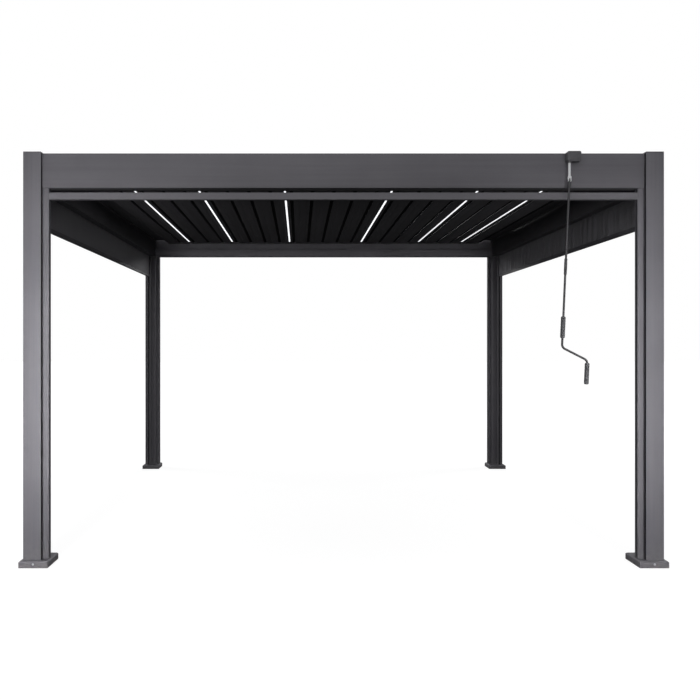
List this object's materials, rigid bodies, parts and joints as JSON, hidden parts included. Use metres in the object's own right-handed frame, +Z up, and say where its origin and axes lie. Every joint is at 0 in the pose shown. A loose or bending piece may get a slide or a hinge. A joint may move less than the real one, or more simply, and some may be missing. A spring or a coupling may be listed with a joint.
{
  "type": "louvered pergola",
  "caption": "Freestanding aluminium pergola with a crank-turned louver roof, light strips, side screens and four posts on covered feet.",
  "frame": {"origin": "centre of the footprint on the ground", "axes": "+X right along the front, +Y from front to back, +Z up"},
  "size_m": [3.638, 3.038, 2.335],
  "materials": {
    "coat": "fine textured matt powder coat, anthracite",
    "cover": "matt powder coat, anthracite",
    "louver": "fine textured matt powder coat, anthracite",
    "light": "white glowing diffuser",
    "fabric": "coated screen fabric, matt",
    "plastic": "matt",
    "steel": "zinc plated, satin",
    "crank": "satin anodised",
    "grip": "matt, finely ribbed"
  },
  "bodies": {
    "frame": {"post_front_left": "coat", "post_front_right": "coat", "post_back_left": "coat", "post_back_right": "coat", "post_caps": "coat", "foot_plates": "steel", "base_covers": "cover", "screen_tracks": "coat", "beam_front": "coat", "beam_back": "coat", "beam_left": "coat", "beam_right": "coat", "pivot_rails": "plastic", "side_strips": "louver", "front_bar": "coat", "screen_left": "fabric", "screen_right": "fabric", "screen_bar_left": "coat", "screen_bar_right": "coat", "crank_gearbox": "plastic", "crank_sleeve": "steel"},
    "louver_01": {"louver_01": "louver"},
    "louver_02": {"louver_02": "louver", "light_02": "light"},
    "louver_03": {"louver_03": "louver"},
    "louver_04": {"louver_04": "louver"},
    "louver_05": {"louver_05": "louver", "light_05": "light"},
    "louver_06": {"louver_06": "louver"},
    "louver_07": {"louver_07": "louver"},
    "louver_08": {"louver_08": "louver"},
    "louver_09": {"louver_09": "louver", "light_09": "light"},
    "louver_10": {"louver_10": "louver"},
    "louver_11": {"louver_11": "louver"},
    "louver_12": {"louver_12": "louver"},
    "louver_13": {"louver_13": "louver"},
    "louver_14": {"louver_14": "louver", "light_14": "light"},
    "louver_15": {"louver_15": "louver"},
    "louver_16": {"louver_16": "louver"},
    "louver_17": {"louver_17": "louver"},
    "louver_18": {"louver_18": "louver", "light_18": "light"},
    "louver_19": {"louver_19": "louver"},
    "louver_20": {"louver_20": "louver"},
    "louver_21": {"louver_21": "louver", "light_21": "light"},
    "louver_22": {"louver_22": "louver"},
    "knuckle": {"crank_knuckle": "steel"},
    "crank": {"crank_rod": "crank", "crank_grips": "grip"}
  },
  "joints": [
    {"name": "crank_swing", "type": "hinge", "parent": "frame", "child": "knuckle", "pos_m": [1.267, -1.504, 2.172], "axis": [-1, 0, 0], "range_deg": [0, 50]},
    {"name": "crank_turn", "type": "hinge", "parent": "knuckle", "child": "crank", "pos_m": [1.267, -1.504, 2.172], "axis": [0.0445, 0, 0.999], "range_deg": [0, 5040]},
    {"name": "louver_01_turn", "type": "hinge", "parent": "frame", "child": "louver_01", "pos_m": [-1.50436, 0, 2.2875], "axis": [0, -1, 0], "range_deg": [0, 90]},
    {"name": "louver_02_turn", "type": "hinge", "parent": "frame", "child": "louver_02", "pos_m": [-1.36109, 0, 2.2875], "axis": [0, -1, 0], "range_deg": [0, 90]},
    {"name": "louver_03_turn", "type": "hinge", "parent": "frame", "child": "louver_03", "pos_m": [-1.21782, 0, 2.2875], "axis": [0, -1, 0], "range_deg": [0, 90]},
    {"name": "louver_04_turn", "type": "hinge", "parent": "frame", "child": "louver_04", "pos_m": [-1.07455, 0, 2.2875], "axis": [0, -1, 0], "range_deg": [0, 90]},
    {"name": "louver_05_turn", "type": "hinge", "parent": "frame", "child": "louver_05", "pos_m": [-0.93127, 0, 2.2875], "axis": [0, -1, 0], "range_deg": [0, 90]},
    {"name": "louver_06_turn", "type": "hinge", "parent": "frame", "child": "louver_06", "pos_m": [-0.788, 0, 2.2875], "axis": [0, -1, 0], "range_deg": [0, 90]},
    {"name": "louver_07_turn", "type": "hinge", "parent": "frame", "child": "louver_07", "pos_m": [-0.64473, 0, 2.2875], "axis": [0, -1, 0], "range_deg": [0, 90]},
    {"name": "louver_08_turn", "type": "hinge", "parent": "frame", "child": "louver_08", "pos_m": [-0.50145, 0, 2.2875], "axis": [0, -1, 0], "range_deg": [0, 90]},
    {"name": "louver_09_turn", "type": "hinge", "parent": "frame", "child": "louver_09", "pos_m": [-0.35818, 0, 2.2875], "axis": [0, -1, 0], "range_deg": [0, 90]},
    {"name": "louver_10_turn", "type": "hinge", "parent": "frame", "child": "louver_10", "pos_m": [-0.21491, 0, 2.2875], "axis": [0, -1, 0], "range_deg": [0, 90]},
    {"name": "louver_11_turn", "type": "hinge", "parent": "frame", "child": "louver_11", "pos_m": [-0.07164, 0, 2.2875], "axis": [0, -1, 0], "range_deg": [0, 90]},
    {"name": "louver_12_turn", "type": "hinge", "parent": "frame", "child": "louver_12", "pos_m": [0.07164, 0, 2.2875], "axis": [0, -1, 0], "range_deg": [0, 90]},
    {"name": "louver_13_turn", "type": "hinge", "parent": "frame", "child": "louver_13", "pos_m": [0.21491, 0, 2.2875], "axis": [0, -1, 0], "range_deg": [0, 90]},
    {"name": "louver_14_turn", "type": "hinge", "parent": "frame", "child": "louver_14", "pos_m": [0.35818, 0, 2.2875], "axis": [0, -1, 0], "range_deg": [0, 90]},
    {"name": "louver_15_turn", "type": "hinge", "parent": "frame", "child": "louver_15", "pos_m": [0.50145, 0, 2.2875], "axis": [0, -1, 0], "range_deg": [0, 90]},
    {"name": "louver_16_turn", "type": "hinge", "parent": "frame", "child": "louver_16", "pos_m": [0.64473, 0, 2.2875], "axis": [0, -1, 0], "range_deg": [0, 90]},
    {"name": "louver_17_turn", "type": "hinge", "parent": "frame", "child": "louver_17", "pos_m": [0.788, 0, 2.2875], "axis": [0, -1, 0], "range_deg": [0, 90]},
    {"name": "louver_18_turn", "type": "hinge", "parent": "frame", "child": "louver_18", "pos_m": [0.93127, 0, 2.2875], "axis": [0, -1, 0], "range_deg": [0, 90]},
    {"name": "louver_19_turn", "type": "hinge", "parent": "frame", "child": "louver_19", "pos_m": [1.07455, 0, 2.2875], "axis": [0, -1, 0], "range_deg": [0, 90]},
    {"name": "louver_20_turn", "type": "hinge", "parent": "frame", "child": "louver_20", "pos_m": [1.21782, 0, 2.2875], "axis": [0, -1, 0], "range_deg": [0, 90]},
    {"name": "louver_21_turn", "type": "hinge", "parent": "frame", "child": "louver_21", "pos_m": [1.36109, 0, 2.2875], "axis": [0, -1, 0], "range_deg": [0, 90]},
    {"name": "louver_22_turn", "type": "hinge", "parent": "frame", "child": "louver_22", "pos_m": [1.50436, 0, 2.2875], "axis": [0, -1, 0], "range_deg": [0, 90]}
  ],
  "couplings": [
    {"joint": "louver_01_turn", "follows": "crank_turn", "ratio": 0.017857},
    {"joint": "louver_02_turn", "follows": "crank_turn", "ratio": 0.017857},
    {"joint": "louver_03_turn", "follows": "crank_turn", "ratio": 0.017857},
    {"joint": "louver_04_turn", "follows": "crank_turn", "ratio": 0.017857},
    {"joint": "louver_05_turn", "follows": "crank_turn", "ratio": 0.017857},
    {"joint": "louver_06_turn", "follows": "crank_turn", "ratio": 0.017857},
    {"joint": "louver_07_turn", "follows": "crank_turn", "ratio": 0.017857},
    {"joint": "louver_08_turn", "follows": "crank_turn", "ratio": 0.017857},
    {"joint": "louver_09_turn", "follows": "crank_turn", "ratio": 0.017857},
    {"joint": "louver_10_turn", "follows": "crank_turn", "ratio": 0.017857},
    {"joint": "louver_11_turn", "follows": "crank_turn", "ratio": 0.017857},
    {"joint": "louver_12_turn", "follows": "crank_turn", "ratio": 0.017857},
    {"joint": "louver_13_turn", "follows": "crank_turn", "ratio": 0.017857},
    {"joint": "louver_14_turn", "follows": "crank_turn", "ratio": 0.017857},
    {"joint": "louver_15_turn", "follows": "crank_turn", "ratio": 0.017857},
    {"joint": "louver_16_turn", "follows": "crank_turn", "ratio": 0.017857},
    {"joint": "louver_17_turn", "follows": "crank_turn", "ratio": 0.017857},
    {"joint": "louver_18_turn", "follows": "crank_turn", "ratio": 0.017857},
    {"joint": "louver_19_turn", "follows": "crank_turn", "ratio": 0.017857},
    {"joint": "louver_20_turn", "follows": "crank_turn", "ratio": 0.017857},
    {"joint": "louver_21_turn", "follows": "crank_turn", "ratio": 0.017857},
    {"joint": "louver_22_turn", "follows": "crank_turn", "ratio": 0.017857}
  ]
}
